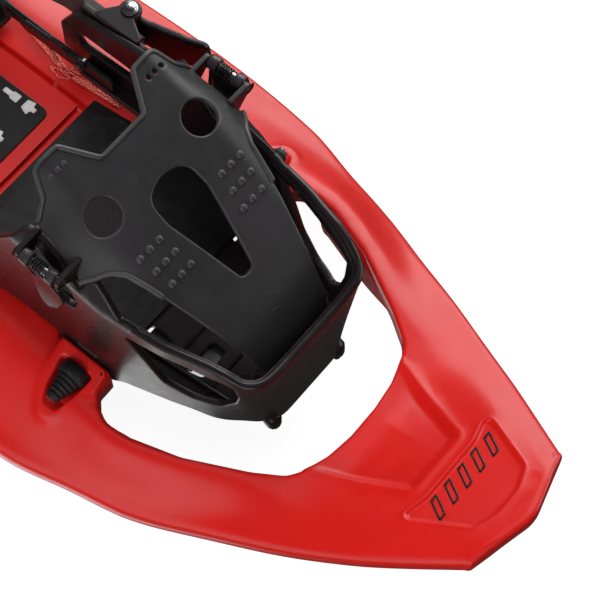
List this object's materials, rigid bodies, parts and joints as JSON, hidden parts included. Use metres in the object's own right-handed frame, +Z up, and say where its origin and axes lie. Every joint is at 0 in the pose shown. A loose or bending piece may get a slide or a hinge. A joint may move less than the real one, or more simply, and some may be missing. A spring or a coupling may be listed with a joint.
{
  "type": "snowshoe",
  "caption": "Moulded snowshoe with an upturned nose, an open toe slot, a pivoting toe cage with a flexible tongue, a sliding heel frame, strap buckle, claws and a folding climbing bar.",
  "frame": {"origin": "middle of the deck's length and width, at the tips of the deck spikes that it stands on", "axes": "+Y towards the upturned nose, +X towards the wearer's right, +Z up"},
  "size_m": [0.222, 0.6, 0.1622],
  "materials": {
    "deck_red": "glossy injection moulded red plastic",
    "cage_black": "glossy black plastic",
    "tongue_grey": "satin dark grey flexible plastic",
    "frame_black": "satin black plastic",
    "pad_rubber": "matt black rubber",
    "print_black": "printed black",
    "claw_steel": "hardened steel, lightly brushed",
    "pin_steel": "bright zinc plated steel"
  },
  "bodies": {
    "root": {"deck": "deck_red", "deck_side_left": "deck_red", "deck_side_right": "deck_red", "deck_nose": "deck_red", "axle_block_left": "deck_red", "axle_block_right": "deck_red", "centre_strip": "deck_red", "tail_eyelet": "frame_black", "nose_inlay": "print_black", "info_label": "print_black", "deck_spikes": "claw_steel", "heel_bumpers": "pad_rubber", "binding_axle": "pin_steel", "axle_boot_left": "pad_rubber", "axle_boot_right": "pad_rubber", "bar_clips": "frame_black"},
    "binding": {"toe_cage": "cage_black", "cage_arm_left": "cage_black", "cage_arm_right": "cage_black", "cage_floor": "cage_black", "toe_pad": "pad_rubber", "pivot_bush_left": "frame_black", "pivot_bush_right": "frame_black", "front_crampon": "claw_steel", "crampon_rivets": "pin_steel", "tongue_pin": "pin_steel", "latch_pin_left": "pin_steel", "latch_pin_right": "pin_steel", "latch_spring_left": "pin_steel", "latch_spring_right": "pin_steel", "ladder_strap": "frame_black", "strap_rivets": "pin_steel", "buckle_base": "tongue_grey", "buckle_pin": "pin_steel", "buckle_spring": "pin_steel"},
    "tongue_body": {"tongue": "tongue_grey"},
    "latch_left": {"latch_lever_left": "cage_black"},
    "latch_right": {"latch_lever_right": "cage_black"},
    "heel_carriage": {"heel_frame": "frame_black", "heel_pad": "pad_rubber", "heel_cup": "frame_black", "heel_rivets": "pin_steel", "size_latch_pins": "pin_steel"},
    "size_left": {"size_latch_left": "cage_black"},
    "size_right": {"size_latch_right": "cage_black"},
    "buckle": {"buckle_lever": "cage_black"},
    "bar": {"climbing_bar": "pin_steel"}
  },
  "joints": [
    {"name": "binding_pivot", "type": "hinge", "parent": "root", "child": "binding", "pos_m": [0, 0.098, 0.045], "axis": [-1, 0, 0], "range_deg": [0, 75]},
    {"name": "heel_slide", "type": "slide", "parent": "binding", "child": "heel_carriage", "axis": [0, 1, 0], "range_m": [0, 0.04]},
    {"name": "tongue_flex", "type": "hinge", "parent": "binding", "child": "tongue_body", "pos_m": [0, 0.171, 0.066], "axis": [-1, 0, 0], "range_deg": [0, 5], "stiffness_Nm_per_rad": 1},
    {"name": "latch_right_turn", "type": "hinge", "parent": "binding", "child": "latch_right", "pos_m": [0.0587, 0.086, 0.132], "axis": [0, -1, 0], "range_deg": [0, 20], "stiffness_Nm_per_rad": 0.02},
    {"name": "latch_left_turn", "type": "hinge", "parent": "binding", "child": "latch_left", "pos_m": [-0.0587, 0.086, 0.132], "axis": [0, 1, 0], "range_deg": [0, 20], "stiffness_Nm_per_rad": 0.02},
    {"name": "size_right_turn", "type": "hinge", "parent": "heel_carriage", "child": "size_right", "pos_m": [0.0449, 0.004, 0.064], "axis": [-1, 0, 0], "range_deg": [0, 12], "stiffness_Nm_per_rad": 0.02},
    {"name": "size_left_turn", "type": "hinge", "parent": "heel_carriage", "child": "size_left", "pos_m": [-0.0449, 0.004, 0.064], "axis": [-1, 0, 0], "range_deg": [0, 12], "stiffness_Nm_per_rad": 0.02},
    {"name": "buckle_open", "type": "hinge", "parent": "binding", "child": "buckle", "pos_m": [-0.0696, 0.018, 0.084], "axis": [0, 0, 1], "range_deg": [0, 70]},
    {"name": "bar_fold", "type": "hinge", "parent": "root", "child": "bar", "pos_m": [0, -0.157, 0.0505], "axis": [-1, 0, 0], "range_deg": [0, 90]}
  ]
}
